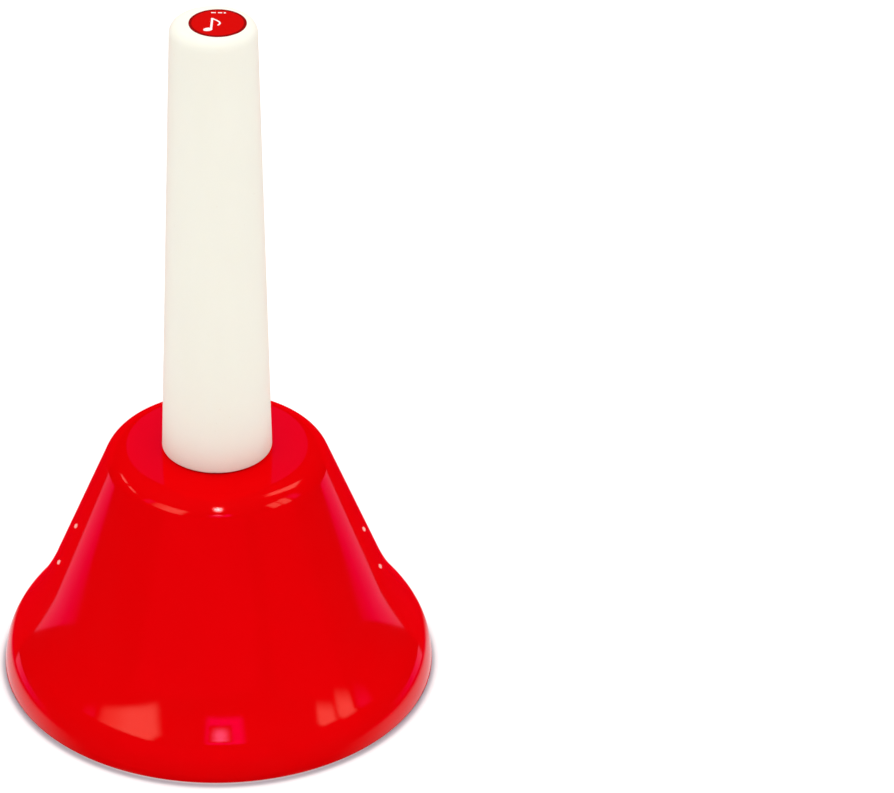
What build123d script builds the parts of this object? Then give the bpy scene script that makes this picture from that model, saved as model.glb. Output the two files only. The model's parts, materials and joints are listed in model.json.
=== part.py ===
"""A handbell from a note set: an enamelled pressed-steel bell on a moulded plastic handle.

Units are millimetres. The origin is the centre of the circle that the rim stands on, and +Z is up the handle.
The clapper's pivot pin lies along X, so the clapper swings along Y, towards and away from the player.
"""

from build123d import *
import os

# Bell shell: the corners of its outer profile before they are rounded, from the crown to the rim
RIM_RADIUS = 42.5
SKIRT_TOP_Z = 4.95
WAIST_RADIUS = 35.43
WAIST_Z = 14.17
CROWN_EDGE_RADIUS = 20.74
SEAT_Z = 50.4
SHOULDER_ROUNDING = 5.1
FLARE_ROUNDING = 51.7
SKIRT_ROUNDING = 13.3
WALL = 1.2
RIM_ROUNDING = 0.4

# Handle: a hollow moulding with a closed top, a central boss and four ribs
TOP_Z = 143.2
GASKET_THICKNESS = 0.2
HANDLE_FOOT_RADIUS = 10.7
HANDLE_TOP_RADIUS = 8.2
HANDLE_WALL = 2.0
HANDLE_TOP_WALL = 2.6
HANDLE_TOP_ROUNDING = 2.0
HANDLE_FOOT_ROUNDING = 0.4
BOSS_RADIUS = 4.6
BOSS_TOP_Z = 72.0
BOSS_RECESS = 1.0
RIB_THICKNESS = 1.6
LABEL_RADIUS = 5.4
LABEL_THICKNESS = 0.25
LABEL_RECESS = 0.15
LABEL_OFFSET = 0.8

# Fixing through the crown: an M5 screw, driven upwards into a brass insert
HOLE_RADIUS = 2.7
SCREW_RADIUS = 2.5
SCREW_ROOT_RADIUS = 2.1
SCREW_TIP_Z = 62.0
SCREW_THREAD_Z = 53.2
THREAD_PITCH = 0.8
SCREW_HEAD_RADIUS = 4.75
SCREW_HEAD_HEIGHT = 2.9
SCREW_HEAD_ROUNDING = 1.6
CROSS_WIDTH = 1.0
CROSS_LENGTH = 4.2
CROSS_DEPTH = 1.7
INSERT_RADIUS = 3.4
INSERT_Z = 52.2
INSERT_LENGTH = 10.5
INSERT_GROOVE = 0.4
GASKET_RADIUS = 10.2
FIBRE_RADIUS = 8.6
FIBRE_THICKNESS = 0.8
WASHER_RADIUS = 5.0
WASHER_THICKNESS = 0.9
LOCK_WASHER_RADIUS = 4.5
LOCK_WASHER_THICKNESS = 1.2
LOCK_WASHER_SPLIT = 0.8

# Yoke: a pressed cross of sheet with two ears for the pin and two arms for the stop buffers
SHEET = 1.2
EAR_INNER_X = 6.0
EAR_WIDTH = 9.0
EAR_TIP_RADIUS = 4.5
PIVOT_Z = 36.5
ARM_INNER_Y = 13.0
ARM_WIDTH = 9.0
ARM_FOOT_Z = 27.2
BEND_RADIUS = 0.9
BUFFER_Z = 30.4
BUFFER_RADIUS = 2.8
BUFFER_LENGTH = 4.0
BUFFER_STEM_RADIUS = 1.4
BUFFER_FLANGE = 1.0

# Pivot pin, clip and bushes
PIN_RADIUS = 1.5
PIN_HEAD_RADIUS = 2.6
PIN_HEAD_LENGTH = 1.2
PIN_TAIL = 1.8
CLIP_RADIUS = 3.2
CLIP_THICKNESS = 0.6
PIN_GROOVE_DEPTH = 0.35
PIN_GROOVE_WIDTH = 0.7
RUNNING = 0.06
BUSH_RADIUS = 2.4
BUSH_FLANGE_RADIUS = 3.6
BUSH_FLANGE = 0.9

# Clapper
HUB_RADIUS = 4.4
HUB_HALF_LENGTH = 4.6
SOCKET_RADIUS = 3.0
SOCKET_FOOT_Z = 28.4
ROD_RADIUS = 1.6
ROD_TOP_Z = 33.0
ROD_FOOT_Z = 3.4
HEAD_Z = 11.6
HEAD_RADIUS = 6.0
HEAD_HALF_LENGTH = 11.0
HEAD_ROUNDING = 1.2
NECK_RADIUS = 3.2
NECK_TOP_Z = 19.6
STRIKER_RADIUS = 4.2
STRIKER_TIP = 15.6
STRIKER_ROOT = 7.5
STRIKER_DOME = 1.8
HEAD_WASHER_RADIUS = 3.4
HEAD_WASHER_THICKNESS = 0.5
NUT_ACROSS_FLATS = 5.5
NUT_THICKNESS = 1.9
NUT_SEAT_Z = 6.2

# Heights of the stack under the crown
CROWN_UNDERSIDE_Z = SEAT_Z - WALL
FIBRE_Z = CROWN_UNDERSIDE_Z - FIBRE_THICKNESS
YOKE_Z = FIBRE_Z - SHEET
WASHER_Z = YOKE_Z - WASHER_THICKNESS
LOCK_WASHER_Z = WASHER_Z - LOCK_WASHER_THICKNESS
SCREW_HEAD_Z = LOCK_WASHER_Z - SCREW_HEAD_HEIGHT
HANDLE_Z = SEAT_Z + GASKET_THICKNESS


def disc(radius, bottom, top):
    """An upright cylinder from z = bottom to z = top."""
    return Pos(0, 0, (bottom + top) / 2) * Cylinder(radius, top - bottom)


def ring(outer, inner, bottom, top):
    """An upright ring from z = bottom to z = top."""
    return disc(outer, bottom, top) - disc(inner, bottom, top)


def pin_bar(radius, x0, x1):
    """A cylinder on the pivot axis, from x0 to x1."""
    return Pos((x0 + x1) / 2, 0, PIVOT_Z) * Rot(0, 90, 0) * Cylinder(radius, abs(x1 - x0))


def cross_bar(radius, y0, y1, z):
    """A cylinder along Y at height z, from y0 to y1."""
    return Pos(0, (y0 + y1) / 2, z) * Rot(90, 0, 0) * Cylinder(radius, abs(y1 - y0))


def outer_form():
    """The bell as a solid lump: a full section with rounded corners, turned about the axis."""
    section = make_face(
        Polyline(
            (0, 0),
            (RIM_RADIUS, 0),
            (RIM_RADIUS, SKIRT_TOP_Z),
            (WAIST_RADIUS, WAIST_Z),
            (CROWN_EDGE_RADIUS, SEAT_Z),
            (0, SEAT_Z),
            close=True,
        )
    )
    for height, rounding in (
        (SEAT_Z, SHOULDER_ROUNDING),
        (WAIST_Z, FLARE_ROUNDING),
        (SKIRT_TOP_Z, SKIRT_ROUNDING),
    ):
        corner = section.vertices().filter_by(lambda v: abs(v.Y - height) < 0.01).sort_by(Axis.X)[-1]
        section = fillet(corner, rounding)
    return revolve(Plane.XZ * section, Axis.Z)


def bell_shell():
    lump = outer_form()
    shell = offset(lump, amount=-WALL, openings=lump.faces().sort_by(Axis.Z)[:1])
    shell = fillet(shell.edges().group_by(Axis.Z)[0], RIM_ROUNDING)
    return shell - disc(HOLE_RADIUS, CROWN_UNDERSIDE_Z - WALL, SEAT_Z + WALL)


def taper(z, inset=0.0):
    """The handle's outer radius at height z, less an inset."""
    share = (z - HANDLE_Z) / (TOP_Z - HANDLE_Z)
    return HANDLE_FOOT_RADIUS + share * (HANDLE_TOP_RADIUS - HANDLE_FOOT_RADIUS) - inset


def tapered(bottom, top, inset=0.0):
    """A solid with the handle's taper, from z = bottom to z = top."""
    cone = Cone(taper(bottom, inset), taper(top, inset), top - bottom)
    return Pos(0, 0, (bottom + top) / 2) * cone


def handle():
    cavity_top = TOP_Z - HANDLE_TOP_WALL
    outer = tapered(HANDLE_Z, TOP_Z)
    outer = fillet(outer.edges().group_by(Axis.Z)[-1], HANDLE_TOP_ROUNDING)
    outer = fillet(outer.edges().group_by(Axis.Z)[0], HANDLE_FOOT_ROUNDING)
    cavity = tapered(HANDLE_Z, cavity_top, HANDLE_WALL)
    cavity = fillet(cavity.edges().group_by(Axis.Z)[-1], HANDLE_WALL)
    core_foot = HANDLE_Z + BOSS_RECESS
    core_height = BOSS_TOP_Z - core_foot
    rib = Box(2 * HANDLE_FOOT_RADIUS, RIB_THICKNESS, core_height)
    rib_place = Pos(0, 0, core_foot + core_height / 2)
    core = disc(BOSS_RADIUS, core_foot, BOSS_TOP_Z) + rib_place * rib + rib_place * Rot(0, 0, 90) * rib
    body = outer - cavity + (core & tapered(HANDLE_Z, TOP_Z, HANDLE_WALL / 2))
    body -= disc(INSERT_RADIUS, HANDLE_Z, INSERT_Z + INSERT_LENGTH)
    body -= disc(SCREW_RADIUS, HANDLE_Z, INSERT_Z + INSERT_LENGTH + THREAD_PITCH)
    return body - Pos(LABEL_OFFSET, 0, 0) * disc(LABEL_RADIUS, TOP_Z - LABEL_RECESS, TOP_Z + WALL)


def note_label():
    foot = TOP_Z - LABEL_RECESS
    return Pos(LABEL_OFFSET, 0, 0) * disc(LABEL_RADIUS, foot, foot + LABEL_THICKNESS)


def handle_insert():
    """A brass insert with two grooves round it, which the plastic keys into."""
    insert = ring(INSERT_RADIUS, SCREW_RADIUS, INSERT_Z, INSERT_Z + INSERT_LENGTH)
    for share in (0.3, 0.7):
        z = INSERT_Z + share * INSERT_LENGTH
        insert -= ring(INSERT_RADIUS, INSERT_RADIUS - INSERT_GROOVE, z - INSERT_GROOVE, z + INSERT_GROOVE)
    return insert


def clapper_yoke():
    """A cross of sheet bent down on four sides: the ears take the pin and the arms take the buffers."""
    ears = folded_strip(EAR_INNER_X, EAR_WIDTH, PIVOT_Z)
    round_tips = pin_bar(EAR_TIP_RADIUS, -EAR_INNER_X - SHEET, EAR_INNER_X + SHEET)
    ears += round_tips - pin_bar(EAR_TIP_RADIUS, -EAR_INNER_X, EAR_INNER_X)
    arms = Rot(0, 0, 90) * folded_strip(ARM_INNER_Y, ARM_WIDTH, ARM_FOOT_Z)
    yoke = ears + arms
    yoke -= pin_bar(PIN_RADIUS + RUNNING / 2, -2 * EAR_INNER_X, 2 * EAR_INNER_X)
    yoke -= cross_bar(BUFFER_STEM_RADIUS, -2 * ARM_INNER_Y, 2 * ARM_INNER_Y, BUFFER_Z)
    return yoke - disc(HOLE_RADIUS, YOKE_Z - SHEET, YOKE_Z + 2 * SHEET)


def folded_strip(inner_x, width, foot_z):
    """A strip under the crown with both ends bent down to z = foot_z."""
    top = YOKE_Z + SHEET
    middle = Pos(0, 0, (top + foot_z) / 2)
    outer = middle * Box(2 * (inner_x + SHEET), width, top - foot_z)
    outer = fillet(outer.edges().filter_by(Axis.Y).group_by(Axis.Z)[-1], BEND_RADIUS + SHEET)
    inner = middle * Pos(0, 0, -SHEET) * Box(2 * inner_x, width, top - foot_z)
    inner = fillet(inner.edges().filter_by(Axis.Y).group_by(Axis.Z)[-1], BEND_RADIUS)
    return outer - inner


def lock_washer():
    """A split spring washer."""
    washer = ring(LOCK_WASHER_RADIUS, HOLE_RADIUS, LOCK_WASHER_Z, WASHER_Z)
    split = Rot(30, 0, 0) * Box(2 * LOCK_WASHER_RADIUS, LOCK_WASHER_SPLIT, 4 * LOCK_WASHER_THICKNESS)
    return washer - Pos(LOCK_WASHER_RADIUS, 0, (LOCK_WASHER_Z + WASHER_Z) / 2) * split


def handle_screw():
    """A pan-head screw with a cross recess, driven upwards from inside the bell."""
    head = disc(SCREW_HEAD_RADIUS, SCREW_HEAD_Z, LOCK_WASHER_Z)
    head = fillet(head.edges().group_by(Axis.Z)[0], SCREW_HEAD_ROUNDING)
    for turn in (0, 90):
        slot = Box(CROSS_LENGTH, CROSS_WIDTH, 2 * CROSS_DEPTH)
        head -= Pos(0, 0, SCREW_HEAD_Z) * Rot(0, 0, turn) * slot
    shank = disc(SCREW_RADIUS, LOCK_WASHER_Z, SCREW_TIP_Z)
    shank = chamfer(shank.edges().group_by(Axis.Z)[-1], THREAD_PITCH / 2)
    turns = int((SCREW_TIP_Z - SCREW_THREAD_Z) / THREAD_PITCH) - 1
    flank = THREAD_PITCH * 0.35
    groove = make_face(
        Polyline(
            (SCREW_RADIUS, -flank),
            (SCREW_RADIUS, flank),
            (SCREW_ROOT_RADIUS, 0),
            close=True,
        )
    )
    groove = revolve(Plane.XZ * groove, Axis.Z)
    for i in range(turns):
        shank -= Pos(0, 0, SCREW_THREAD_Z + (i + 0.5) * THREAD_PITCH) * groove
    return head + shank


def stop_buffer(side):
    """A rubber button whose stem is pushed through an arm of the yoke and held by a flange behind it."""
    inner = side * ARM_INNER_Y
    outer = side * (ARM_INNER_Y + SHEET)
    button = cross_bar(BUFFER_RADIUS, inner, inner - side * BUFFER_LENGTH, BUFFER_Z)
    face = button.edges().group_by(Axis.Y)[0 if side > 0 else -1]
    button = fillet(face, BUFFER_FLANGE)
    stem = cross_bar(BUFFER_STEM_RADIUS, inner, outer, BUFFER_Z)
    flange = cross_bar(BUFFER_STEM_RADIUS + 0.8, outer, outer + side * BUFFER_FLANGE, BUFFER_Z)
    return button + stem + flange


def pivot_pin():
    """A headed pin with a groove near its tail for the clip."""
    end = EAR_INNER_X + SHEET
    head = pin_bar(PIN_HEAD_RADIUS, end, end + PIN_HEAD_LENGTH)
    head = fillet(head.edges().group_by(Axis.X)[-1], PIN_HEAD_LENGTH / 2)
    shank = pin_bar(PIN_RADIUS, -end - PIN_TAIL, end)
    shank = chamfer(shank.edges().group_by(Axis.X)[0], PIN_GROOVE_DEPTH)
    groove = pin_bar(PIN_RADIUS, -end, -end - PIN_GROOVE_WIDTH)
    groove -= pin_bar(PIN_RADIUS - PIN_GROOVE_DEPTH, -end, -end - PIN_GROOVE_WIDTH)
    return head + shank - groove


def pin_clip():
    """A clip with an open mouth, pushed into the pin's groove from below."""
    end = EAR_INNER_X + SHEET
    clip = pin_bar(CLIP_RADIUS, -end, -end - CLIP_THICKNESS)
    clip -= pin_bar(PIN_RADIUS - PIN_GROOVE_DEPTH, -end, -end - CLIP_THICKNESS)
    mouth = Box(4 * CLIP_THICKNESS, 2 * (PIN_RADIUS - PIN_GROOVE_DEPTH), 2 * CLIP_RADIUS)
    return clip - Pos(-end, 0, PIVOT_Z - CLIP_RADIUS) * mouth


def pivot_bush(side):
    """A flanged sleeve in one end of the hub, with the pin running in its bore."""
    inner = side * PIN_RADIUS / 2
    shoulder = side * HUB_HALF_LENGTH
    flange = shoulder + side * BUSH_FLANGE
    bush = pin_bar(BUSH_RADIUS, inner, shoulder) + pin_bar(BUSH_FLANGE_RADIUS, shoulder, flange)
    return bush - pin_bar(PIN_RADIUS + RUNNING, -HUB_RADIUS * 2, HUB_RADIUS * 2)


def clapper_hub():
    """A moulded barrel on the bushes, with a socket below it for the rod."""
    hub = pin_bar(HUB_RADIUS, -HUB_HALF_LENGTH, HUB_HALF_LENGTH)
    hub += disc(SOCKET_RADIUS, SOCKET_FOOT_Z, PIVOT_Z)
    hub -= pin_bar(BUSH_RADIUS, -HUB_HALF_LENGTH, HUB_HALF_LENGTH)
    return hub - disc(ROD_RADIUS, SOCKET_FOOT_Z, ROD_TOP_Z)


def clapper_rod():
    rod = disc(ROD_RADIUS, ROD_FOOT_Z, ROD_TOP_Z)
    return chamfer(rod.edges().group_by(Axis.Z)[0], PIN_GROOVE_DEPTH)


def clapper_head():
    """A moulded hammer across the rod, with a pocket in each end for a striker."""
    head = cross_bar(HEAD_RADIUS, -HEAD_HALF_LENGTH, HEAD_HALF_LENGTH, HEAD_Z)
    head = fillet(head.edges().filter_by(GeomType.CIRCLE), HEAD_ROUNDING)
    head += disc(NECK_RADIUS, HEAD_Z, NECK_TOP_Z)
    head -= disc(ROD_RADIUS, HEAD_Z - 2 * HEAD_RADIUS, NECK_TOP_Z)
    head -= disc(HEAD_WASHER_RADIUS + RUNNING, HEAD_Z - 2 * HEAD_RADIUS, NUT_SEAT_Z)
    for side in (-1, 1):
        head -= cross_bar(STRIKER_RADIUS, side * STRIKER_ROOT, side * STRIKER_TIP, HEAD_Z)
    return head


def striker(side):
    """A plug of hard felt with a domed face."""
    plug = cross_bar(STRIKER_RADIUS, side * STRIKER_ROOT, side * STRIKER_TIP, HEAD_Z)
    face = plug.edges().filter_by(GeomType.CIRCLE).group_by(Axis.Y)[-1 if side > 0 else 0]
    return fillet(face, STRIKER_DOME)


def clapper_nut():
    top = NUT_SEAT_Z - HEAD_WASHER_THICKNESS
    flats = RegularPolygon(NUT_ACROSS_FLATS / 2, 6, major_radius=False)
    nut = Pos(0, 0, top - NUT_THICKNESS) * extrude(flats, NUT_THICKNESS)
    return nut - disc(ROD_RADIUS, 0, NUT_SEAT_Z)


def make_parts():
    washer_top = NUT_SEAT_Z - HEAD_WASHER_THICKNESS
    return {
        "bell_shell": bell_shell(),
        "handle": handle(),
        "note_label": note_label(),
        "handle_insert": handle_insert(),
        "handle_gasket": ring(GASKET_RADIUS, HOLE_RADIUS, SEAT_Z, HANDLE_Z),
        "fibre_washer": ring(FIBRE_RADIUS, HOLE_RADIUS, FIBRE_Z, CROWN_UNDERSIDE_Z),
        "clapper_yoke": clapper_yoke(),
        "flat_washer": ring(WASHER_RADIUS, HOLE_RADIUS, WASHER_Z, YOKE_Z),
        "lock_washer": lock_washer(),
        "handle_screw": handle_screw(),
        "stop_buffer_front": stop_buffer(-1),
        "stop_buffer_rear": stop_buffer(1),
        "pivot_pin": pivot_pin(),
        "pin_clip": pin_clip(),
        "clapper_hub": clapper_hub(),
        "pivot_bush_left": pivot_bush(-1),
        "pivot_bush_right": pivot_bush(1),
        "clapper_rod": clapper_rod(),
        "clapper_head": clapper_head(),
        "striker_front": striker(-1),
        "striker_rear": striker(1),
        "head_washer": ring(HEAD_WASHER_RADIUS, ROD_RADIUS, washer_top, NUT_SEAT_Z),
        "clapper_nut": clapper_nut(),
    }


os.makedirs("parts", exist_ok=True)
for node, shape in make_parts().items():
    export_step(shape, f"parts/{node}.step")
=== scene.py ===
"""The looks of a note handbell: enamelled bell, ivory handle and the clapper inside, in a plain studio.

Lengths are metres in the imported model's frame. Millimetre sizes are written with MM.
"""

import json
from math import cos, pi, radians, sin, tan

import bmesh
import bpy
from mathutils import Matrix, Vector, noise


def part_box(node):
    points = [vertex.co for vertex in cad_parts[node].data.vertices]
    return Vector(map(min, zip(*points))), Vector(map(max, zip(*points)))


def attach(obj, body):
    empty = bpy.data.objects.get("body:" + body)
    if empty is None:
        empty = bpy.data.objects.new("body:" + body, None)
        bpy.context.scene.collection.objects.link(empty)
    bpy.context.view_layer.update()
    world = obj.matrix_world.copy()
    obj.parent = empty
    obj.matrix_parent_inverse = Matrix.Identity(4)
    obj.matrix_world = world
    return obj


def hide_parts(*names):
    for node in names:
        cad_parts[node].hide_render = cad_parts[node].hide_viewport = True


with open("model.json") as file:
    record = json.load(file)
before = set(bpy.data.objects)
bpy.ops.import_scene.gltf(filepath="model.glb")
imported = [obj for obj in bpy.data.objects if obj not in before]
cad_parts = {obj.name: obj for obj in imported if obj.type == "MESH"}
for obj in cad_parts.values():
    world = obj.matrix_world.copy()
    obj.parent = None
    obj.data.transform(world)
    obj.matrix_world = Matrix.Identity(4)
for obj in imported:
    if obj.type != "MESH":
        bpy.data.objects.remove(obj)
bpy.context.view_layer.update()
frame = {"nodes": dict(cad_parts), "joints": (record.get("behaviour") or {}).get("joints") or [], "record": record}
nodes = frame["nodes"]
MM = 0.001

# ---------------------------------------------------------------- sizes
# the bell's outside, from the seat of the handle down to the rim
SEAT_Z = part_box("bell_shell")[1].z
SCREW_HOLE_RADIUS = 2.7 * MM
CROWN_EDGE_RADIUS = 20.74 * MM
SHOULDER_ROUNDING = 5.1 * MM
WAIST_RADIUS = 35.43 * MM
WAIST_Z = 14.17 * MM
FLARE_ROUNDING = 51.7 * MM
RIM_RADIUS = 42.5 * MM
SKIRT_TOP_Z = 4.95 * MM
SKIRT_ROUNDING = 13.3 * MM
WALL = 1.2 * MM
LIP_ROUNDING = 0.4 * MM
BELL_SEGMENTS = 384

# the label
LABEL_EDGE = 0.07 * MM
LABEL_BORDER_SHARE = 0.9
LABEL_SEGMENTS = 160
INK = 0.03 * MM

# the pivot, the yoke's arms and the buffers
PIVOT_Z = frame["joints"][0]["pos_m"][2]
PIN_RADIUS = 1.5 * MM
PIN_GROOVE_RADIUS = 1.15 * MM
BUSH_BORE_RADIUS = 1.56 * MM
BUSH_RADIUS = 2.4 * MM
HUB_HALF_LENGTH = 4.6 * MM
ARM_INNER_Y = 13.0 * MM
ARM_SHEET = 1.2 * MM
BUFFER_STEM_RADIUS = 1.4 * MM
BUFFER_FLANGE_RADIUS = 2.2 * MM
BUFFER_DIMPLE_RADIUS = 1.2 * MM
BUFFER_DIMPLE_DEPTH = 0.35 * MM

# the rod, its nut, the washers and the felt strikers
ROD_RADIUS = 1.6 * MM
THREAD_PITCH = 0.5 * MM
THREAD_DEPTH = 0.2 * MM
THREAD_TURNS = 7
THREAD_STEPS = 8
NUT_HALF_FLATS = 2.75 * MM
NUT_CHAMFER = radians(30)
WASHER_ROUNDING = 0.16
STRIKER_DOME = 1.8 * MM
FELT_FLUFF = 0.07 * MM
FELT_STEP = 0.18 * MM
FELT_TUFT = 0.5 * MM

# meshes: points closer than WELD are one, and edges sharper than SHARP stay sharp
WELD = 0.002 * MM
SHARP = radians(33)


# ---------------------------------------------------------------- mesh helpers
def filleted(corners, steps=8):
    """A polyline of (r, z, rounding) corners as points, each corner rounded by its own arc."""
    points = []
    for i, (r, z, rounding) in enumerate(corners):
        here = Vector((r, z))
        if not rounding:
            points.append(here)
            continue
        back = (Vector(corners[i - 1][:2]) - here).normalized()
        ahead = (Vector(corners[(i + 1) % len(corners)][:2]) - here).normalized()
        half = back.angle(ahead) / 2
        centre = here + (back + ahead).normalized() * (rounding / sin(half))
        start = here + back * (rounding / tan(half)) - centre
        finish = here + ahead * (rounding / tan(half)) - centre
        sweep = start.angle_signed(finish)
        for k in range(steps + 1):
            points.append(centre + Matrix.Rotation(-sweep * k / steps, 2) @ start)
    return points


def ring_corners(inner, outer, bottom, top, rounding):
    """The section of a washer, with all four corners rounded."""
    return [(r, z, rounding) for r, z in ((inner, bottom), (outer, bottom), (outer, top), (inner, top))]


def turned(name, outline, segments=128, closed=False, axis="Z", centre=(0, 0, 0), limit=None):
    """A surface of revolution from (r, z) points, where z runs along the axis.

    A point on the axis becomes one vertex. A limit keeps the radius under its value at each angle.
    """
    mesh = bmesh.new()
    place = {
        "X": lambda r, a, z: (z, r * cos(a), r * sin(a)),
        "Y": lambda r, a, z: (r * cos(a), z, r * sin(a)),
        "Z": lambda r, a, z: (r * cos(a), r * sin(a), z),
    }[axis]
    rings = []
    for point in outline:
        if point[0] < WELD:
            rings.append([mesh.verts.new(place(0, 0, point[1]))])
            continue
        ring = []
        for k in range(segments):
            angle = 2 * pi * k / segments
            radius = min(point[0], limit(angle)) if limit else point[0]
            ring.append(mesh.verts.new(place(radius, angle, point[1])))
        rings.append(ring)
    pairs = list(zip(rings, rings[1:]))
    if closed:
        pairs.append((rings[-1], rings[0]))
    for low, high in pairs:
        skin_between(mesh, low, high, segments)
    bmesh.ops.translate(mesh, verts=mesh.verts, vec=centre)
    return finished(name, mesh)


def skin_between(mesh, low, high, segments):
    """Faces from one ring of vertices to the next; a ring of one vertex gives triangles."""
    for k in range(segments):
        after = (k + 1) % segments
        corners = [low[k % len(low)], low[after % len(low)], high[after % len(high)], high[k % len(high)]]
        unique = list(dict.fromkeys(corners))
        if len(unique) > 2:
            mesh.faces.new(unique)


def finished(name, mesh):
    """A smooth-shaded object from a bmesh, with its sharp edges kept sharp."""
    bmesh.ops.recalc_face_normals(mesh, faces=mesh.faces)
    data = bpy.data.meshes.new(name)
    mesh.to_mesh(data)
    mesh.free()
    data.shade_smooth()
    data.set_sharp_from_angle(angle=SHARP)
    made = bpy.data.objects.new(name, data)
    bpy.context.scene.collection.objects.link(made)
    return made


def softened(name, node, width, segments=2):
    """A copy of a CAD node's mesh with its sharp edges rounded off."""
    mesh = bmesh.new()
    mesh.from_mesh(nodes[node].data)
    bmesh.ops.remove_doubles(mesh, verts=mesh.verts, dist=WELD)
    bmesh.ops.dissolve_limit(mesh, angle_limit=radians(0.5), verts=mesh.verts, edges=mesh.edges)
    sharp = [edge for edge in mesh.edges if edge.is_manifold and edge.calc_face_angle() > SHARP]
    bmesh.ops.bevel(mesh, geom=sharp, offset=width, segments=segments, profile=0.6, affect="EDGES",
                    clamp_overlap=False, loop_slide=True)
    return finished(name, mesh)


def placed(piece, body, slot, material, *replaced):
    """Gives a new piece its material, ties it to its body and hides the CAD nodes it stands for. The slot is not
    used.
    """
    piece.data.materials.clear()
    piece.data.materials.append(material)
    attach(piece, body)
    if replaced:
        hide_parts(*replaced)
    return piece


# ---------------------------------------------------------------- materials
class Shader:
    """A small wrapper that makes a Principled material and the nodes behind it."""

    def __init__(self, name, color, roughness, **settings):
        self.material = bpy.data.materials.new(name)
        self.material.use_nodes = True
        self.tree = self.material.node_tree
        self.bsdf = self.tree.nodes["Principled BSDF"]
        self.set("Base Color", (*color, 1))
        self.set("Roughness", roughness)
        for key, value in settings.items():
            self.set(key.replace("_", " "), value)

    def set(self, socket, value):
        self.bsdf.inputs[socket].default_value = value

    def node(self, kind, **inputs):
        made = self.tree.nodes.new(kind)
        for key, value in inputs.items():
            made.inputs[key.replace("_", " ")].default_value = value
        return made

    def link(self, source, target):
        self.tree.links.new(source, target)

    def drive(self, socket, source):
        self.link(source, self.bsdf.inputs[socket])

    def coordinates(self, stretch=(1, 1, 1)):
        """Object coordinates, which don't slide with the view."""
        where = self.node("ShaderNodeTexCoord")
        mapping = self.node("ShaderNodeMapping", Scale=stretch)
        self.link(where.outputs["Object"], mapping.inputs["Vector"])
        return mapping.outputs["Vector"]

    def noise(self, scale, detail=4.0, stretch=(1, 1, 1), distortion=0.0):
        made = self.node("ShaderNodeTexNoise", Scale=scale, Detail=detail, Distortion=distortion)
        self.link(self.coordinates(stretch), made.inputs["Vector"])
        return made.outputs["Fac"]

    def cells(self, scale):
        """Rounded cells, for pebbled moulding and powdery zinc."""
        made = self.node("ShaderNodeTexVoronoi", Scale=scale)
        self.link(self.coordinates(), made.inputs["Vector"])
        return made.outputs["Distance"]

    def rings(self, scale, distortion=1.5):
        """Fine turning marks round the object's Z axis."""
        made = self.node("ShaderNodeTexWave", Scale=scale, Distortion=distortion, Detail=3.0)
        made.wave_type = "BANDS"
        made.bands_direction = "Z"
        self.link(self.coordinates(), made.inputs["Vector"])
        return made.outputs["Fac"]

    def spread(self, fac, low, high, start=0.3, end=0.7):
        """A value stretched to run from low to high as fac runs from start to end."""
        made = self.node("ShaderNodeMapRange")
        for key, value in (("From Min", start), ("From Max", end), ("To Min", low), ("To Max", high)):
            made.inputs[key].default_value = value
        self.link(fac, made.inputs["Value"])
        return made.outputs["Result"]

    def blend(self, fac, first, second):
        """A colour that goes from first to second with fac."""
        made = self.tree.nodes.new("ShaderNodeMix")
        made.data_type = "RGBA"
        for socket, value in (("A", first), ("B", second)):
            target = next(s for s in made.inputs if s.name == socket and s.type == "RGBA")
            if isinstance(value, tuple):
                target.default_value = (*value, 1)
            else:
                self.link(value, target)
        self.link(fac, made.inputs["Factor"])
        return next(s for s in made.outputs if s.type == "RGBA")

    def bump(self, height, strength, distance):
        made = self.node("ShaderNodeBump", Strength=strength, Distance=distance)
        before = self.bsdf.inputs["Normal"].links
        if before:
            self.link(before[0].from_socket, made.inputs["Normal"])
        self.link(height, made.inputs["Height"])
        self.drive("Normal", made.outputs["Normal"])
        return self.material


def enamel(name, color, low_gloss, high_gloss, peel):
    """Sprayed red enamel: faint orange peel, a slow drift of colour, and gloss that is a little uneven."""
    made = Shader(name, color, low_gloss, IOR=1.5)
    made.set("Specular Tint", (1.0, 0.35, 0.28, 1))
    deeper = tuple(0.965 * c for c in color)
    made.drive("Base Color", made.blend(made.spread(made.noise(38, 3), 0.0, 1.0), deeper, color))
    made.drive("Roughness", made.spread(made.noise(160, 5), high_gloss, low_gloss))
    made.bump(made.noise(380, 2), peel, 0.03 * MM)
    return made.material


def ivory():
    """Ivory moulded plastic: a little translucent, with faint flow streaks and a fine satin skin."""
    made = Shader("ivory_plastic", (0.92, 0.9, 0.795), 0.45, IOR=1.46)
    made.set("Specular IOR Level", 0.03)
    made.set("Subsurface Weight", 0.2)
    made.set("Subsurface Radius", (1.0, 0.9, 0.75))
    made.set("Subsurface Scale", 1.5 * MM)
    streaks = made.spread(made.noise(55, 4, (1, 1, 0.35)), 0.0, 1.0)
    body = made.blend(streaks, (0.91, 0.89, 0.78), (0.94, 0.922, 0.815))
    specks = made.spread(made.noise(1500, 2), 0.0, 1.0, 0.74, 0.8)
    made.drive("Base Color", made.blend(specks, body, (0.86, 0.8, 0.68)))
    made.drive("Roughness", made.spread(made.noise(300, 5), 0.38, 0.5))
    made.bump(made.noise(120, 2, (1, 1, 0.5)), 0.06, 0.05 * MM)
    return made.bump(made.noise(2600, 4), 0.1, 0.02 * MM)


def vinyl(name, color):
    """Printed red vinyl, with an even tooth and a matt lacquer."""
    made = Shader(name, color, 0.5)
    made.set("Specular IOR Level", 0.02)
    made.set("Specular Tint", (1.0, 0.4, 0.3, 1))
    deeper = tuple(0.92 * c for c in color)
    made.drive("Base Color", made.blend(made.noise(900, 3), deeper, color))
    made.drive("Roughness", made.spread(made.noise(2400), 0.42, 0.55))
    return made.bump(made.noise(3200, 3), 0.15, 0.01 * MM)


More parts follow.
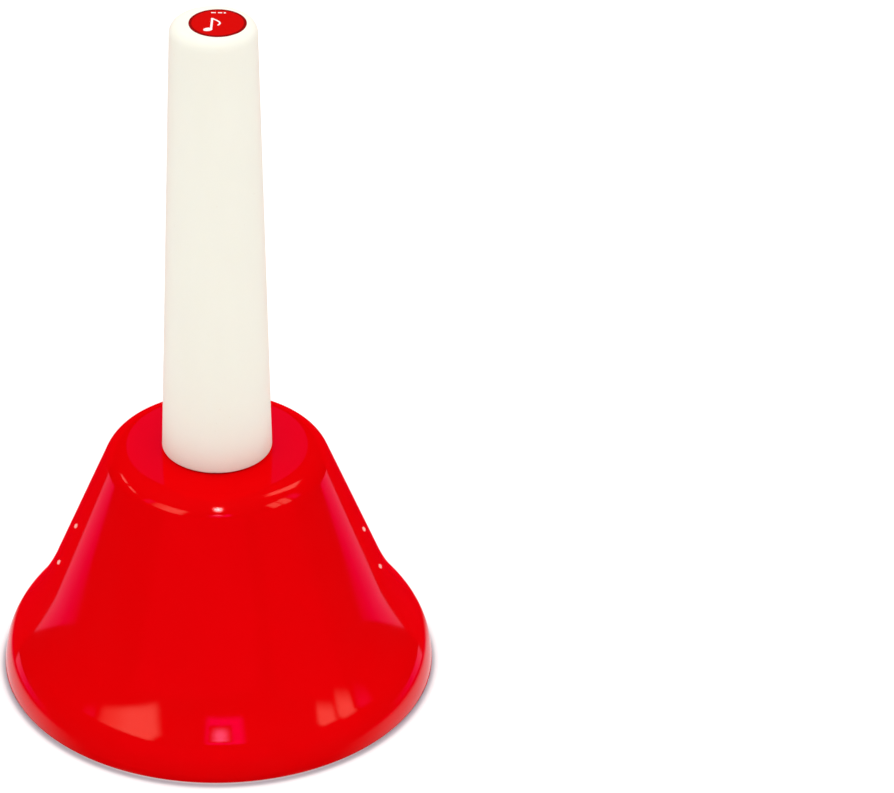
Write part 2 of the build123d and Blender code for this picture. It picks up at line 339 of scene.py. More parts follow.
def white_print():
    """White screen ink, with pinholes where the red shows through."""
    made = Shader("white_print", (0.9, 0.88, 0.86), 0.5)
    made.set("Specular IOR Level", 0.2)
    pinholes = made.spread(made.noise(3800, 3), 0.0, 1.0, 0.62, 0.72)
    made.drive("Base Color", made.blend(pinholes, (0.93, 0.9, 0.88), (0.85, 0.45, 0.42)))
    return made.bump(made.noise(3000, 3), 0.2, 0.01 * MM)


def brass():
    """Turned brass with lathe marks and a light tarnish."""
    made = Shader("brass", (0.75, 0.55, 0.22), 0.28, Metallic=1.0)
    tarnish = made.spread(made.noise(260, 5), 0.0, 1.0, 0.45, 0.75)
    made.drive("Base Color", made.blend(tarnish, (0.78, 0.58, 0.24), (0.52, 0.36, 0.13)))
    made.drive("Roughness", made.spread(made.noise(700), 0.2, 0.38))
    return made.bump(made.rings(900), 0.25, 0.02 * MM)


def plated_steel():
    """Zinc-plated steel: cool grey with a faint yellow-blue bloom, hairline scratches and dull patches."""
    made = Shader("plated_steel", (0.7, 0.71, 0.72), 0.35, Metallic=0.85)
    bloom = made.blend(made.spread(made.noise(130, 3), 0.0, 1.0), (0.74, 0.74, 0.7), (0.66, 0.7, 0.76))
    dull = made.spread(made.noise(420, 6), 0.0, 1.0, 0.55, 0.75)
    made.drive("Base Color", made.blend(dull, bloom, (0.5, 0.5, 0.5)))
    made.drive("Roughness", made.spread(made.noise(520, 6), 0.26, 0.46))
    made.bump(made.noise(300, 3, (1, 12, 1), 0.6), 0.1, 0.02 * MM)
    return made.bump(made.cells(1900), 0.08, 0.02 * MM)


def nylon():
    """Black glass-filled nylon with a pebbled mould texture and pale flow marks."""
    made = Shader("black_nylon", (0.05, 0.05, 0.055), 0.5, IOR=1.53)
    flow = made.spread(made.noise(140, 5, (1, 0.4, 1), 1.2), 0.0, 1.0, 0.45, 0.8)
    made.drive("Base Color", made.blend(flow, (0.045, 0.045, 0.05), (0.09, 0.09, 0.095)))
    made.drive("Roughness", made.spread(made.noise(900, 4), 0.4, 0.62))
    made.bump(made.cells(1500), 0.25, 0.04 * MM)
    return made.bump(made.noise(160, 3), 0.1, 0.05 * MM)


def felt():
    """Hard white wool felt: matted fibres, a soft sheen and a few darker hairs."""
    made = Shader("wool_felt", (0.8, 0.77, 0.68), 0.95)
    made.set("Specular IOR Level", 0.15)
    made.set("Sheen Weight", 0.5)
    made.set("Sheen Roughness", 0.5)
    matted = made.blend(made.spread(made.noise(500, 6, (1, 1, 1), 2.5), 0.0, 1.0), (0.7, 0.67, 0.58),
                        (0.86, 0.83, 0.75))
    hairs = made.spread(made.noise(900, 2, (1, 5, 2), 3.0), 0.0, 1.0, 0.7, 0.78)
    made.drive("Base Color", made.blend(hairs, matted, (0.42, 0.38, 0.32)))
    made.bump(made.noise(1400, 6, (1, 3, 1), 3.0), 0.7, 0.12 * MM)
    return made.bump(made.noise(3600, 4), 0.4, 0.06 * MM)


def rubber():
    """Black moulded rubber with a dusty grey bloom."""
    made = Shader("rubber", (0.035, 0.035, 0.035), 0.7)
    made.set("Specular IOR Level", 0.35)
    bloom = made.spread(made.noise(380, 5), 0.0, 1.0, 0.45, 0.75)
    made.drive("Base Color", made.blend(bloom, (0.03, 0.03, 0.03), (0.085, 0.083, 0.08)))
    made.drive("Roughness", made.spread(made.noise(700), 0.6, 0.85))
    return made.bump(made.noise(2200, 4), 0.25, 0.03 * MM)


def fibre():
    """Red-brown vulcanised fibre, with pressed paper strands on its faces."""
    made = Shader("vulcanised_fibre", (0.25, 0.05, 0.03), 0.62)
    strands = made.spread(made.noise(420, 6, (1, 6, 1), 1.5), 0.0, 1.0)
    made.drive("Base Color", made.blend(strands, (0.2, 0.035, 0.02), (0.34, 0.09, 0.05)))
    made.drive("Roughness", made.spread(made.noise(800, 4), 0.5, 0.75))
    return made.bump(made.noise(900, 6, (1, 6, 1), 1.5), 0.35, 0.04 * MM)


RED = (0.775, 0.0, 0.0012)
INSIDE_RED = (0.66, 0.004, 0.004)
LABEL_RED = (0.65, 0.0012, 0.0004)
LABEL_BORDER_RED = (0.3, 0.002, 0.002)
materials = {
    "enamel": enamel("red_enamel", RED, 0.05, 0.09, 0.03),
    "handle_plastic": ivory(),
    "label_vinyl": vinyl("label_vinyl", LABEL_RED),
    "brass": brass(),
    "rubber": rubber(),
    "fibre": fibre(),
    "plated_steel": plated_steel(),
    "nylon": nylon(),
    "felt": felt(),
}
inside_enamel = enamel("red_enamel_inside", INSIDE_RED, 0.28, 0.42, 0.3)
# A darker red for the label's edge and the outer ring of its face.
label_dark_rim = vinyl("label_border", LABEL_BORDER_RED)
ink = white_print()
for subpart in frame["record"]["subparts"]:
    node = nodes[subpart["node"]]
    node.data.materials.clear()
    node.data.materials.append(materials[subpart["material_slot"]])


def slot_of(node):
    return next(s["material_slot"] for s in frame["record"]["subparts"] if s["node"] == node)


def standing_for(piece, node, body):
    """A piece that stands for one CAD node and takes the material of that node's slot."""
    return placed(piece, body, slot_of(node), materials[slot_of(node)], node)


# ---------------------------------------------------------------- the bell
def inset(corners, distance):
    """The same open outline moved to its right, with each rounding grown or shrunk to match."""
    moved = []
    for i, (r, z, rounding) in enumerate(corners):
        here = Vector((r, z))
        before = Vector(corners[max(i - 1, 0)][:2])
        after = Vector(corners[min(i + 1, len(corners) - 1)][:2])
        runs = [run.normalized() for run in (here - before, after - here) if run.length > 0]
        sides = [Vector((run.y, -run.x)) for run in runs]
        shift = (sides[0] + sides[-1]) * (distance / (1 + sides[0].dot(sides[-1])))
        turns_right = runs[0].cross(runs[-1]) < 0
        grown = rounding - distance if turns_right else rounding + distance
        moved.append((r + shift.x, z + shift.y, grown if rounding else 0))
    return moved


def add_bell():
    """One wall, turned from the screw hole over the shoulder to the rim, and back up inside."""
    outside = [
        (SCREW_HOLE_RADIUS, SEAT_Z, 0),
        (CROWN_EDGE_RADIUS, SEAT_Z, SHOULDER_ROUNDING),
        (WAIST_RADIUS, WAIST_Z, FLARE_ROUNDING),
        (RIM_RADIUS, SKIRT_TOP_Z, SKIRT_ROUNDING),
        (RIM_RADIUS, 0, 0),
    ]
    lip = (RIM_RADIUS - WALL / 2, 0, 0)
    walls = []
    for corners in (outside, inset(outside, WALL)):
        corners[-1] = (*corners[-1][:2], LIP_ROUNDING)
        walls.append(filleted(corners + [lip], 28))
    outer, inner = walls
    bell = turned("bell_body", outer + inner[-2::-1], BELL_SEGMENTS, closed=True)
    standing_for(bell, "bell_shell", "bell")
    bell.data.materials.append(inside_enamel)
    for face in bell.data.polygons[(len(outer) - 1) * BELL_SEGMENTS:]:
        face.material_index = 1


# ---------------------------------------------------------------- the label on the handle
def printed(name, shapes, foot, full_height):
    """Flat printed shapes, each a list of (x, y) corners, as thin slabs that end a hair apart in height."""
    mesh = bmesh.new()
    for i, corners in enumerate(shapes):
        top = full_height - i * WELD
        low = [mesh.verts.new((x, y, foot)) for x, y in corners]
        high = [mesh.verts.new((x, y, top)) for x, y in corners]
        mesh.faces.new(low[::-1])
        mesh.faces.new(high)
        for k in range(len(corners)):
            after = (k + 1) % len(corners)
            mesh.faces.new([low[k], low[after], high[after], high[k]])
    return finished(name, mesh)


def stroke(points, width):
    """A pen stroke along (x, y) points, as one closed outline."""
    left, right = [], []
    for i, point in enumerate(points):
        here = Vector(point)
        run = (Vector(points[min(i + 1, len(points) - 1)]) - Vector(points[max(i - 1, 0)])).normalized()
        side = Vector((-run.y, run.x)) * (width / 2)
        left.append(tuple(here + side))
        right.append(tuple(here - side))
    return right + left[::-1]


def oval(x, y, long_radius, short_radius, tilt, steps=40):
    """A tilted ellipse as a closed outline."""
    points = []
    for k in range(steps):
        angle = 2 * pi * k / steps
        point = Matrix.Rotation(tilt, 2) @ Vector((long_radius * cos(angle), short_radius * sin(angle)))
        points.append((x + point.x, y + point.y))
    return points


def add_label():
    """A round sticker with a dark border, and a plain quaver, two short bars and a dot printed on it."""
    low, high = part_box("note_label")
    middle = (low + high) / 2
    radius = (high.x - low.x) / 2
    face = high.z - INK
    border = LABEL_BORDER_SHARE * radius
    edge = filleted([(radius, low.z, 0), (radius, face, LABEL_EDGE), (border, face, 0)])
    outline = [Vector((0, low.z))] + edge + [Vector((0, face))]
    disc = turned("label_disc", outline, LABEL_SEGMENTS, centre=(middle.x, middle.y, 0))
    standing_for(disc, "note_label", "bell")
    disc.data.materials.append(label_dark_rim)
    for polygon in disc.data.polygons[LABEL_SEGMENTS:-LABEL_SEGMENTS]:
        polygon.material_index = 1

    def on_label(points):
        return [(middle.x + x * radius, middle.y + y * radius) for x, y in points]

    mark = printed("label_print", [on_label(shape) for shape in note_shapes()], face - INK, high.z)
    placed(mark, "bell", "label_vinyl", ink)


def note_shapes():
    """A quaver's stem, flag and head, then two bars and a dot above it, in shares of the label's radius."""
    stem_x, line_y = -0.2, 0.73
    thick, thin = 0.075, 0.06
    flag = [(stem_x + 0.28 * sin(k * pi / 11), 0.3 - 0.06 * k) for k in range(9)]
    return [
        stroke([(stem_x, -0.48), (stem_x, 0.33)], thick),
        stroke(flag, thin),
        oval(stem_x - 0.11, -0.49, 0.16, 0.115, radians(20)),
        stroke([(-0.26, line_y), (-0.1, line_y)], thin),
        stroke([(-0.02, line_y), (0.12, line_y)], thin),
        oval(0.21, line_y, 0.04, 0.04, 0),
    ]


# ---------------------------------------------------------------- washers, pins and bushes
def add_washers():
    """Round-edged rings. Each takes its outside from its node and has a hole of its own."""
    for node, hole, body in (
        ("handle_gasket", SCREW_HOLE_RADIUS, "bell"),
        ("fibre_washer", SCREW_HOLE_RADIUS, "bell"),
        ("flat_washer", SCREW_HOLE_RADIUS, "bell"),
        ("head_washer", ROD_RADIUS, "clapper"),
    ):
        low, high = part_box(node)
        section = ring_corners(hole, high.x, low.z, high.z, WASHER_ROUNDING * (high.z - low.z))
        standing_for(turned(node + "_ring", filleted(section, 5), 192, closed=True), node, body)


def add_pin():
    """The clapper's pin: a domed head, a ground shank and a groove near the tail for the clip."""
    low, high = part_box("pivot_pin")
    clip_low, clip_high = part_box("pin_clip")
    head_radius = high.y
    head_foot = -clip_high.x
    head_height = high.x - head_foot
    groove_play = 0.1 * MM
    groove_end = clip_low.x - groove_play
    outline = filleted([
        (0, low.x, 0),
        (PIN_GROOVE_RADIUS, low.x, 0),
        (PIN_RADIUS, low.x + PIN_RADIUS - PIN_GROOVE_RADIUS, 0),
        (PIN_RADIUS, groove_end, 0),
        (PIN_GROOVE_RADIUS, groove_end, 0.1 * MM),
        (PIN_GROOVE_RADIUS, clip_high.x, 0.1 * MM),
        (PIN_RADIUS, clip_high.x, 0),
        (PIN_RADIUS, head_foot, 0.1 * MM),
        (head_radius, head_foot, 0.15 * MM),
        (head_radius, high.x, 0.8 * head_height),
        (0, high.x, 0),
    ])
    pin = turned("pin_turned", outline, 96, axis="X", centre=(0, 0, PIVOT_Z))
    standing_for(pin, "pivot_pin", "bell")


def add_bushes():
    """Flanged bushes pressed into the hub's ends."""
    for node, side in (("pivot_bush_left", -1), ("pivot_bush_right", 1)):
        low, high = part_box(node)
        inner, outer = sorted((abs(low.x), abs(high.x)))
        section = [
            (BUSH_BORE_RADIUS, inner, 0.1 * MM),
            (BUSH_RADIUS, inner, 0.15 * MM),
            (BUSH_RADIUS, HUB_HALF_LENGTH, 0.05 * MM),
            (high.y, HUB_HALF_LENGTH, 0.15 * MM),
            (high.y, outer, 0.2 * MM),
            (BUSH_BORE_RADIUS, outer, 0.15 * MM),
        ]
        section = [(r, side * x, rounding) for r, x, rounding in section]
        outline = filleted(section, 5)
        bush = turned(node + "_turned", outline, 96, closed=True, axis="X", centre=(0, 0, PIVOT_Z))
        standing_for(bush, node, "clapper")


def add_buffers():
    """Rubber buttons pushed through the yoke's arms, each with a moulded dimple in its face."""
    for node, side in (("stop_buffer_front", -1), ("stop_buffer_rear", 1)):
        low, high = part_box(node)
        face, tail = sorted((abs(low.y), abs(high.y)))
        arm_outer = ARM_INNER_Y + ARM_SHEET
        z = (low.z + high.z) / 2
        section = [
            (0, face + BUFFER_DIMPLE_DEPTH, 0),
            (0.7 * BUFFER_DIMPLE_RADIUS, face + BUFFER_DIMPLE_DEPTH, 0.2 * MM),
            (BUFFER_DIMPLE_RADIUS, face, 0.2 * MM),
            (high.x, face, 0.9 * MM),
            (high.x, ARM_INNER_Y, 0.25 * MM),
            (BUFFER_STEM_RADIUS, ARM_INNER_Y, 0.05 * MM),
            (BUFFER_STEM_RADIUS, arm_outer, 0.05 * MM),
            (BUFFER_FLANGE_RADIUS, arm_outer, 0.2 * MM),
            (BUFFER_FLANGE_RADIUS, tail, 0.45 * MM),
            (0, tail, 0),
        ]
        section = [(r, side * y, rounding) for r, y, rounding in section]
        button = turned(node + "_button", filleted(section), 96, axis="Y", centre=(0, 0, z))
        standing_for(button, node, "bell")


# ---------------------------------------------------------------- bent, cut and moulded pieces
def add_softened():
    """Pieces whose CAD shape is right and only wants the small edge radii of a real one."""
    for node, body, width, segments in (
        ("clapper_yoke", "bell", 0.16 * MM, 3),
        ("lock_washer", "bell", 0.12 * MM, 2),
        ("handle_screw", "bell", 0.1 * MM, 2),
        ("pin_clip", "bell", 0.08 * MM, 2),
        ("clapper_hub", "clapper", 0.25 * MM, 3),
        ("clapper_head", "clapper", 0.22 * MM, 3),
    ):
        standing_for(softened(node + "_finished", node, width, segments), node, body)


def add_rod():
    """A plain rod with a rolled thread at its foot for the nut."""
    low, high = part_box("clapper_rod")
    length = THREAD_TURNS * THREAD_PITCH
    segments = 96
    mesh = bmesh.new()

    def ring(z, radius):
        angles = [2 * pi * s / segments for s in range(segments)]
        return [mesh.verts.new((radius(a) * cos(a), radius(a) * sin(a), z)) for a in angles]

    rings = [[mesh.verts.new((0, 0, low.z))]]
    for k in range(THREAD_TURNS * THREAD_STEPS + 1):
        turn = k / THREAD_STEPS
        fade = min(1, turn, THREAD_TURNS - turn)
        taper = THREAD_DEPTH * max(0, 1 - turn)

        def threaded(angle):
            phase = (turn - angle / (2 * pi)) % 1
            return ROD_RADIUS - taper - THREAD_DEPTH * fade * (1 - abs(2 * phase - 1))

        rings.append(ring(low.z + turn * THREAD_PITCH, threaded))
    for z in (low.z + length + THREAD_PITCH, high.z):
        rings.append(ring(z, lambda angle: ROD_RADIUS))
    rings.append([mesh.verts.new((0, 0, high.z))])
    for below, above in zip(rings, rings[1:]):
        skin_between(mesh, below, above, segments)
    standing_for(finished("rod_threaded", mesh), "clapper_rod", "clapper")


def add_nut():
    """A hexagon nut, chamfered above and below, with a countersunk thread."""
    low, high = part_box("clapper_nut")
    corner = NUT_HALF_FLATS / cos(pi / 6)
    fall = (corner - NUT_HALF_FLATS) * tan(NUT_CHAMFER)
    countersink = 0.2 * MM

    def flats(angle):
        return NUT_HALF_FLATS / cos((angle % (pi / 3)) - pi / 6)

    section = [
        (ROD_RADIUS, low.z + countersink),
        (ROD_RADIUS + countersink, low.z),
        (NUT_HALF_FLATS, low.z),
        (corner, low.z + fall),
        (corner, high.z - fall),
        (NUT_HALF_FLATS, high.z),
        (ROD_RADIUS + countersink, high.z),
        (ROD_RADIUS, high.z - countersink),
    ]
    steps = 6
    fine = []
    for start, end in zip(section, section[1:]):
        fine += [Vector(start).lerp(Vector(end), k / steps) for k in range(steps)]
    fine.append(Vector(section[-1]))
    nut = turned("nut_chamfered", fine, 240, closed=True, limit=flats)
    standing_for(nut, "clapper_nut", "clapper")


def evenly_spaced(outline, step):
    """The same outline, with points added so that they are about a step apart."""
    even = [outline[0]]
    for point in outline[1:]:
        start = even[-1]
        run = point - start
        pieces = max(1, round(run.length / step))
        even += [start + run * (k / pieces) for k in range(1, pieces + 1)]
    return even


def add_strikers():
    """Felt plugs with a domed, slightly matted face."""
    for node, side in (("striker_front", -1), ("striker_rear", 1)):
        low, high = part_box(node)
        root, tip = sorted((abs(low.y), abs(high.y)))
        z = (low.z + high.z) / 2
        radius = high.x - FELT_FLUFF
        face = tip - FELT_FLUFF
        section = [(0, root, 0), (radius, root, 0.3 * MM), (radius, face, STRIKER_DOME), (0, face, 0)]
        outline = filleted([(r, side * y, rounding) for r, y, rounding in section], 16)
        plug = turned("felt_" + node, evenly_spaced(outline, FELT_STEP), 150, axis="Y", centre=(0, 0, z))
        for vertex in plug.data.vertices:
            tuft = noise.fractal(vertex.co / FELT_TUFT, 1.0, 2.0, 4)
            vertex.co += vertex.normal * FELT_FLUFF * max(-1, min(1, tuft))
        standing_for(plug, node, "clapper")


add_bell()
add_label()
add_washers()
add_pin()
add_bushes()
add_buffers()
add_softened()
add_rod()
add_nut()
add_strikers()
for node in ("handle", "handle_insert"):
    nodes[node].visible_glossy = False

# ---------------------------------------------------------------- floor and lights
FLOOR_HALF = 3.0
FLOOR_GREY = (0.6, 0.6, 0.6)
# The grey of the contact shadow that is painted on the floor at the rim.
SHADED_GREY = (0.42, 0.42, 0.47)
SKY_LEVEL = 0.395
SKY_OVERHEAD = 1.47
FLOOR_GLOW = 0.46
# SHADE_FORWARD moves the floor, and so its painted contact shadow, a little to the front.
SHADE_FORWARD = 0.6 * MM
# The floor's glow from the bell's axis outwards, by share of CONTACT_RANGE: bright inside, and dark at the rim,
# where a contact shadow is painted.
CONTACT_RANGE = 100 * MM
CONTACT_SHADE = [(0.0, 2.0), (0.412, 2.0), (0.42, 0.0), (0.428, 0.15), (0.434, 0.75), (0.441, 1.0)]
BELL_MIDDLE = Vector((0, 0, 0.03))
STAGE_DISTANCE = 1.2
RAYS_BUT_GLOSS = ("camera", "diffuse", "transmission", "volume_scatter", "shadow")
WARM = (1.0, 0.95, 0.85)
COOL = (0.8, 0.8, 1.0)
ROSE = (1.0, 0.05, 0.75)
RED_HAZE = (1.0, 0.0, 0.06)
SHEET_FADE = [
    (0.0, (1.0, 0.27, 0.42)),
    (0.25, (0.95, 0.09, 0.38)),
    (0.5, (0.85, 0.0, 0.3)),
    (0.8, (0.6, 0.0, 0.1)),
    (1.0, (0.3, 0.0, 0.0)),
]
RIM_FADE = [
    (0.0, (1.0, 0.9, 0.92)),
    (0.4, (0.95, 0.8, 0.84)),
    (0.7, (0.85, 0.0, 0.1)),
    (1.0, (0.85, 0.0, 0.01)),
]
TWO_PATCHES = [(0.4, WARM), (0.46, (0.1, 0, 0)), (0.54, (0.1, 0, 0)), (0.6, WARM)]
WINDOW_FADE = [(0.0, (0.45, 0.2, 0.2)), (0.3, (0.8, 0.6, 0.5)), (0.5, WARM), (1.0, WARM)]


def calculated(tree, operation, *values):
    """A Math node's result. Each value is a number or another node's output."""
    made = tree.nodes.new("ShaderNodeMath")
    made.operation = operation
    for socket, value in zip(made.inputs, values):
        if isinstance(value, (int, float)):
            socket.default_value = value
        else:
            tree.links.new(value, socket)
    return made.outputs[0]


def ranged(tree, value, low, high, smooth=False):
    """A share that goes from 0 to 1 as the value goes from low to high."""
    made = tree.nodes.new("ShaderNodeMapRange")
    if smooth:
        made.interpolation_type = "SMOOTHSTEP"
    made.inputs["From Min"].default_value = low
    made.inputs["From Max"].default_value = high
    tree.links.new(value, made.inputs["Value"])
    return made.outputs["Result"]


def own_axes(tree, source="Object"):
    """The X, Y and Z of a point in its object's own coordinates, or in the world background's."""
    place = tree.nodes.new("ShaderNodeTexCoord")
    axes = tree.nodes.new("ShaderNodeSeparateXYZ")
    tree.links.new(place.outputs[source], axes.inputs["Vector"])
    return axes.outputs


def own_distance(tree):
    """A point's distance from its object's origin."""
    place = tree.nodes.new("ShaderNodeTexCoord")
    length = tree.nodes.new("ShaderNodeVectorMath")
    length.operation = "LENGTH"
    tree.links.new(place.outputs["Object"], length.inputs[0])
    return length.outputs["Value"]


def color_ramp(tree, share, stops):
    """A colour that follows (place, colour) stops as share goes from 0 to 1."""
    colors = tree.nodes.new("ShaderNodeValToRGB")
    while len(colors.color_ramp.elements) < len(stops):
        colors.color_ramp.elements.new(0.5)
    for element, (position, color) in zip(colors.color_ramp.elements, stops):
        element.position = position
        element.color = (*color, 1)
    tree.links.new(share, colors.inputs["Fac"])
    return colors.outputs["Color"]


def mixed_with_clear(tree, share, surface, clear_at_one):
    """Sends a surface to the output, clear where share is 1 (or where it is 0)."""
    clear = tree.nodes.new("ShaderNodeBsdfTransparent").outputs["BSDF"]
    either = tree.nodes.new("ShaderNodeMixShader")
    first, second = (surface, clear) if clear_at_one else (clear, surface)
    tree.links.new(share, either.inputs["Fac"])
    tree.links.new(first, either.inputs[1])
    tree.links.new(second, either.inputs[2])
    tree.links.new(either.outputs["Shader"], tree.nodes["Material Output"].inputs["Surface"])


def shining(thing, color, strength):
    """Gives a thing a material that only shines. Gloss finds it, so it isn't sampled as a lamp."""
    material = bpy.data.materials.new(thing.name)
    material.use_nodes = True
    tree = material.node_tree
    tree.nodes.remove(tree.nodes["Principled BSDF"])
    emission = tree.nodes.new("ShaderNodeEmission")
    emission.inputs["Color"].default_value = (*color, 1)
    emission.inputs["Strength"].default_value = strength
    tree.links.new(emission.outputs["Emission"], tree.nodes["Material Output"].inputs["Surface"])
    material.cycles.emission_sampling = "NONE"
    thing.data.materials.append(material)
    return tree, emission


def only_in_gloss(thing):
    """Hides a piece of the studio from everything but reflections."""
    for ray in RAYS_BUT_GLOSS:
        setattr(thing, "visible_" + ray, False)


def direction(azimuth, elevation):
    """A unit vector: azimuth 0 is +Y and 90 is +X, in degrees."""
    a, e = radians(azimuth), radians(elevation)
    return Vector((sin(a) * cos(e), cos(a) * cos(e), sin(e)))


def face_bell(thing, azimuth, elevation, distance):
    """Stands a card or lamp in a direction from the bell, and turns it to face the bell."""
    outward = direction(azimuth, elevation)
    thing.location = BELL_MIDDLE + outward * distance
    thing.rotation_mode = "QUATERNION"
    thing.rotation_quaternion = outward.to_track_quat("Z", "Y")


def square(name, half=1.0):
    """A flat square face."""
    grid = bmesh.new()
    bmesh.ops.create_grid(grid, x_segments=1, y_segments=1, size=half)
    return finished(name, grid)


def card(name, azimuth, elevation, width, height, color, strength, soft, ramp=None, distance=STAGE_DISTANCE):
    """A studio card that shows only in reflections. Its width and height are angles seen from the bell.

    Soft is the share of it that fades at its edges. A ramp of (place, colour) runs across it from the high
    azimuth to the low, or back if the width is negative.
    """
    thing = square(name)
    tree, emission = shining(thing, color, strength)
    axes = own_axes(tree)
    fades = []
    for axis in ("X", "Y"):
        out = calculated(tree, "ABSOLUTE", axes[axis])
        fades.append(ranged(tree, out, 1, 1 - soft, smooth=True))
    both = calculated(tree, "MULTIPLY", *fades)
    tree.links.new(calculated(tree, "MULTIPLY", both, strength), emission.inputs["Strength"])
    if ramp:
        tree.links.new(color_ramp(tree, ranged(tree, axes["X"], -1, 1), ramp), emission.inputs["Color"])
    face_bell(thing, azimuth, elevation, distance)
    thing.scale = (distance * tan(radians(width / 2)), distance * tan(radians(height / 2)), 1)
    only_in_gloss(thing)


def floor_by_rim(inner, outer, centre_y, full, gone):
    """Pale floor at the bell's sides, seen only in reflections.

    It is full up to one distance in front of and behind its centre line, and gone at the other.
    """
    steps = 96
    angles = [2 * pi * k / steps for k in range(steps)]
    grid = bmesh.new()
    rings = [[grid.verts.new((r * cos(a), r * sin(a), 0)) for a in angles] for r in (inner, outer)]
    skin_between(grid, rings[0], rings[1], steps)
    thing = finished("floor_by_rim", grid)
    tree, emission = shining(thing, (1, 1, 1), 1.0)
    across = ranged(tree, own_distance(tree), inner, outer)
    tree.links.new(color_ramp(tree, across, RIM_FADE), emission.inputs["Color"])
    away = calculated(tree, "ABSOLUTE", calculated(tree, "SUBTRACT", own_axes(tree)["Y"], centre_y))
    shown = ranged(tree, away, gone, full, smooth=True)
    mixed_with_clear(tree, shown, emission.outputs["Emission"], clear_at_one=False)
    only_in_gloss(thing)


def handle_shade():
    """A red sleeve just outside the handle, which the enamel mirrors in place of it."""
    low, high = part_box("handle")
    foot = high.x * 1.01
    sleeve = turned("handle_shade", [(foot, low.z + 0.3 * MM), (0.8 * foot, high.z), (0, high.z)], 64)
    shining(sleeve, (1, 0, 0), 0.9)
    only_in_gloss(sleeve)


def sparks(strength=1.6, radius=0.5 * MM):
    """Pinpoints of light close to the enamel, seen only in its reflections."""
    for name, x, y, z in (
        ("spark_left_high", -29.6, -0.3, 31.4),
        ("spark_left_low", -33.1, -0.2, 22.6),
        ("spark_right_high", 30.2, 4.2, 29.1),
        ("spark_right_low", 33.6, 3.0, 21.1),
    ):
        ball = bmesh.new()
        bmesh.ops.create_icosphere(ball, subdivisions=2, radius=radius)
        thing = finished(name, ball)
        shining(thing, WARM, strength)
        thing.location = (x * MM, y * MM, z * MM)
        only_in_gloss(thing)


def add_floor():
    """A pale floor that glows a little, more so under the bell, has a contact shadow painted in a ring at the rim,
    and is clear from below.
    """
    floor = square("studio_floor", FLOOR_HALF)
    shader = Shader("studio_floor", FLOOR_GREY, 0.9)
    shader.set("Emission Color", (1, 1, 1, 1))
    tree = shader.tree
    # Painted contact shadow: in a ring at the rim the glow falls away and the grey darkens.
    stops = [(place, (value, value, value)) for place, value in CONTACT_SHADE]
    shade = color_ramp(tree, ranged(tree, own_distance(tree), 0, CONTACT_RANGE), stops)
    shader.drive("Emission Strength", calculated(tree, "MULTIPLY", shade, FLOOR_GLOW))
    shader.drive("Base Color", shader.blend(shade, SHADED_GREY, FLOOR_GREY))
    shader.material.cycles.emission_sampling = "NONE"
    side = tree.nodes.new("ShaderNodeNewGeometry").outputs["Backfacing"]
    mixed_with_clear(tree, side, shader.bsdf.outputs["BSDF"], clear_at_one=True)
    floor.data.materials.append(shader.material)
    floor.location.y = -SHADE_FORWARD
    floor.visible_glossy = False


def add_world():
    """An even white sky, brighter overhead, which isn't seen in reflections."""
    world = bpy.data.worlds.new("studio")
    bpy.context.scene.world = world
    world.use_nodes = True
    tree = world.node_tree
    up = own_axes(tree, "Generated")["Z"]
    light = calculated(tree, "MULTIPLY_ADD", calculated(tree, "MULTIPLY", up, up), SKY_OVERHEAD, SKY_LEVEL)
    background = tree.nodes["Background"]
    background.inputs["Color"].default_value = (1, 1, 1, 1)
    tree.links.new(light, background.inputs["Strength"])
    world.cycles_visibility.glossy = False


def lamp(name, azimuth, elevation, size, power):
    """A square soft box, which itself isn't seen in reflections."""
    thing = bpy.data.objects.new(name, bpy.data.lights.new(name, "AREA"))
    bpy.context.scene.collection.objects.link(thing)
    thing.data.shape = "SQUARE"
    thing.data.size = size
    thing.data.energy = power
    face_bell(thing, azimuth, elevation, STAGE_DISTANCE)
    thing.visible_glossy = False


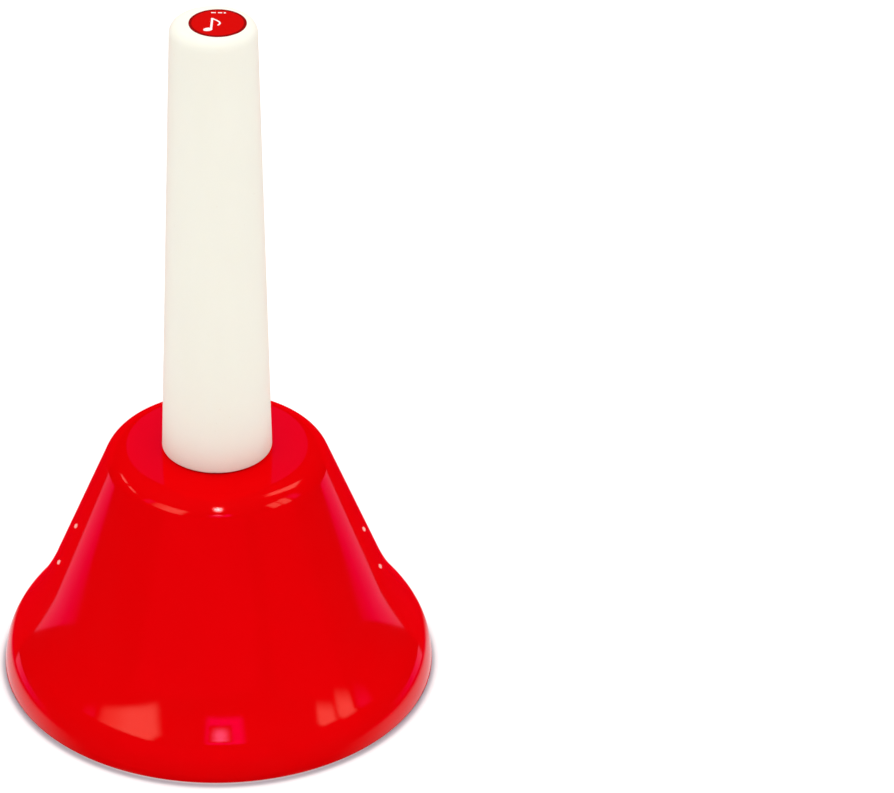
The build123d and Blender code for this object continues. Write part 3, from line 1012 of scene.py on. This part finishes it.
def add_cards():
    """The windows and walls that the enamel mirrors. Directions and sizes are angles in degrees."""
    card("shoulder_dot", 176.3, 60, 8, 26, COOL, 80, 1.0, distance=1.1)
    card("window_left", -131, 33, 34, 23, WARM, 3.8, 0.3, WINDOW_FADE)
    card("window_right_near", 116, 33, 11, 25, WARM, 3.5, 0.45)
    card("window_right_far", 104.5, 30.5, 11, 30, WARM, 3.3, 0.5)
    card("window_right_tail", 93, 28, 12, 31, ROSE, 1.8, 0.8)
    card("window_left_tail", -108, 31, 9, 22, ROSE, 1.6, 0.6)
    card("high_right", 63, 55, 16, 26, WARM, 3.5, 0.4)
    card("high_left", -75, 29, 32, 6, WARM, 3.3, 0.4, TWO_PATCHES)
    card("front_core", 176.5, 35.2, 11, 8, (0.5, 0.36, 1), 15.0, 1.0)
    card("front_rose", 174, 33.3, 21, 12, (1, 0, 0.7), 4.0, 0.35, distance=1.25)
    card("front_haze_left", -170, 8, 78, 26, RED_HAZE, 0.7, 0.1)
    card("front_haze_right", 122, 8, 42, 26, (1, 0, 0.04), 0.6, 0.1)
    card("back_rose", -3.5, 32.5, 13, 12, ROSE, 0.36, 0.3)
    card("back_red", -3, -12, 97, 60, (1, 0, 0.01), 0.85, 0.03, distance=1.6)
    card("sheet_left", -71, -16, 38, 18, ROSE, 1.5, 0.1, SHEET_FADE)
    card("sheet_right", 63.5, -16, -37, 18, ROSE, 1.5, 0.1, SHEET_FADE)
    card("from_below", 0, -90, 100, 100, (1, 1, 1), 0.7, 0.3)


add_floor()
add_world()
lamp("key_box", 174, 59, 0.2, 1.1)
add_cards()
floor_by_rim(42.8 * MM, 58 * MM, -8 * MM, 14 * MM, 30 * MM)
handle_shade()
sparks()

# ---------------------------------------------------------------- camera
SENSOR_WIDTH_MM = 36.0
LENS_MM = 201.3
CAMERA_DISTANCE = 1.002
CAMERA_PITCH = radians(32.47)
CAMERA_ROLL = radians(1.15)
BELL_LEFT_OF_AXIS = radians(2.61)
BELL_BELOW_AXIS = radians(2.97)


def add_camera():
    """A long lens, looking down at the bell, which stands left of and below the middle of the frame."""
    forward = Vector((0, cos(CAMERA_PITCH), -sin(CAMERA_PITCH)))
    level_right = Vector((1, 0, 0))
    level_up = level_right.cross(forward)
    right = level_right * cos(CAMERA_ROLL) + level_up * sin(CAMERA_ROLL)
    up = right.cross(forward)
    towards_bell = forward - right * tan(BELL_LEFT_OF_AXIS) - up * tan(BELL_BELOW_AXIS)
    camera = bpy.data.objects.new("camera", bpy.data.cameras.new("camera"))
    bpy.context.scene.collection.objects.link(camera)
    camera.data.sensor_width = SENSOR_WIDTH_MM
    camera.data.lens = LENS_MM
    turn = Matrix((right, up, -forward)).transposed().to_4x4()
    camera.matrix_world = Matrix.Translation(-towards_bell.normalized() * CAMERA_DISTANCE) @ turn
    bpy.context.scene.camera = camera


add_camera()
bpy.context.scene.view_settings.view_transform = "Standard"
